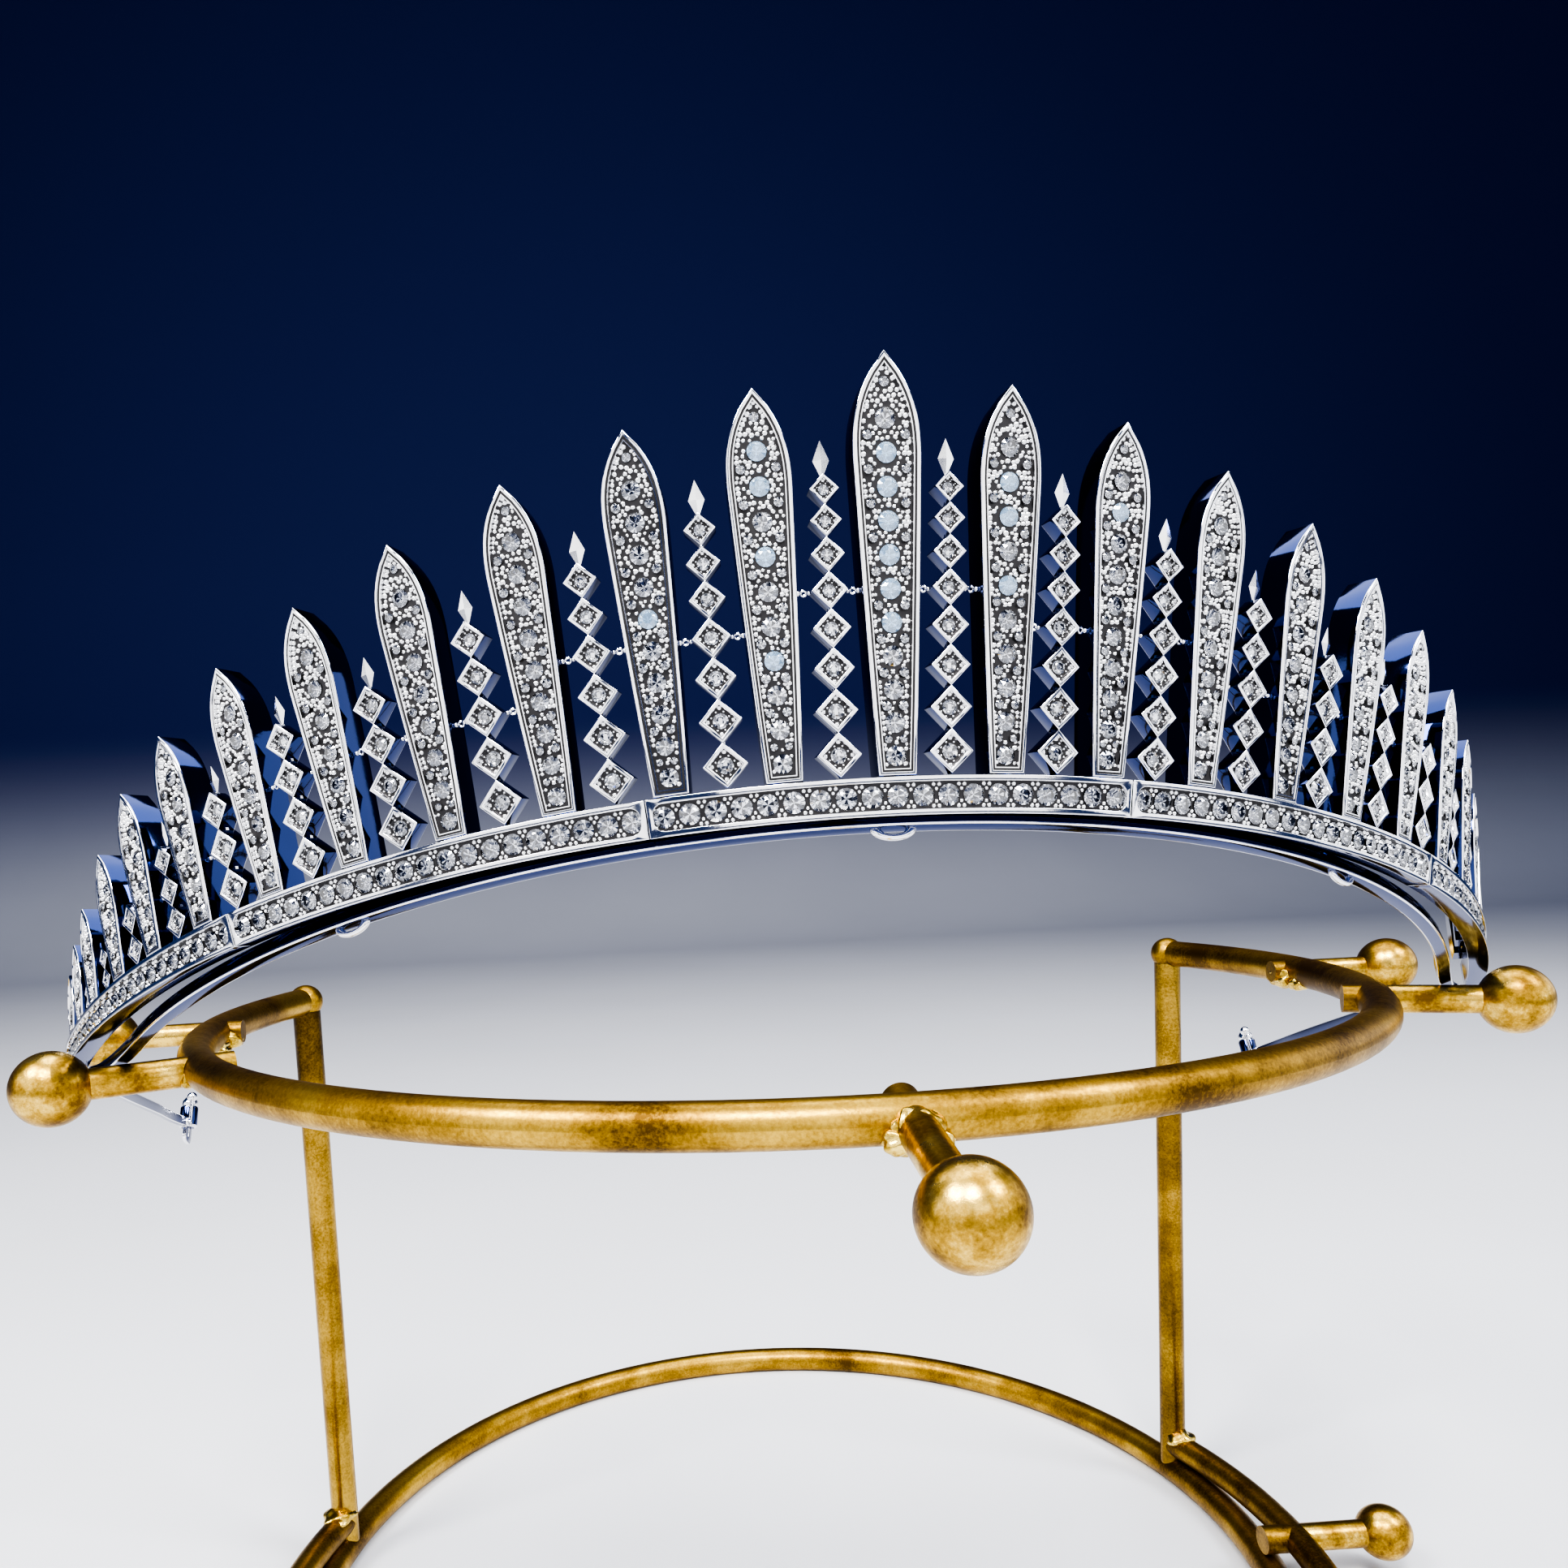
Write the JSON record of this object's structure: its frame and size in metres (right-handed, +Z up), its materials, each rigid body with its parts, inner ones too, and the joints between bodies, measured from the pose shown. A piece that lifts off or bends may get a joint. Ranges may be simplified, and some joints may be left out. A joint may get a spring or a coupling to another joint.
{
  "type": "diadem on a display stand",
  "caption": "Diadem of graduated stone-set blades and strings of lozenge settings on a stone-set band, resting on the knobbed pegs of an open wire stand.",
  "frame": {"origin": "centre of the bounding box's base, on the surface that the stand rests on", "axes": "+Z up, -Y towards the front of the diadem, +X to the right seen from the front"},
  "size_m": [0.1988, 0.1816, 0.153],
  "materials": {
    "antique_gold": "worn antique gold, rubbed bright on the knobs, darker at the edges",
    "white_metal": "polished white metal",
    "clear_stone": "clear cut stone"
  },
  "bodies": {
    "root": {"base_ring": "antique_gold", "lower_hoop": "antique_gold", "upper_hoop": "antique_gold", "left_leg": "antique_gold", "right_leg": "antique_gold", "upper_front_peg": "antique_gold", "upper_left_side_peg": "antique_gold", "upper_right_side_peg": "antique_gold", "upper_left_rear_peg": "antique_gold", "upper_right_rear_peg": "antique_gold", "lower_front_peg": "antique_gold", "lower_left_side_peg": "antique_gold", "lower_right_side_peg": "antique_gold", "lower_left_rear_peg": "antique_gold", "lower_right_rear_peg": "antique_gold", "stone_band": "white_metal", "inner_rail": "white_metal", "left_tail": "white_metal", "right_tail": "white_metal", "centre_blade": "white_metal", "left_blade_1": "white_metal", "left_blade_2": "white_metal", "left_blade_3": "white_metal", "left_blade_4": "white_metal", "left_blade_5": "white_metal", "left_blade_6": "white_metal", "left_blade_7": "white_metal", "left_blade_8": "white_metal", "left_blade_9": "white_metal", "left_blade_10": "white_metal", "left_blade_11": "white_metal", "left_blade_12": "white_metal", "right_blade_1": "white_metal", "right_blade_2": "white_metal", "right_blade_3": "white_metal", "right_blade_4": "white_metal", "right_blade_5": "white_metal", "right_blade_6": "white_metal", "right_blade_7": "white_metal", "right_blade_8": "white_metal", "right_blade_9": "white_metal", "right_blade_10": "white_metal", "right_blade_11": "white_metal", "right_blade_12": "white_metal", "left_strings": "white_metal", "right_strings": "white_metal", "centre_stones": "clear_stone", "left_stones": "clear_stone", "right_stones": "clear_stone"}
  },
  "joints": []
}
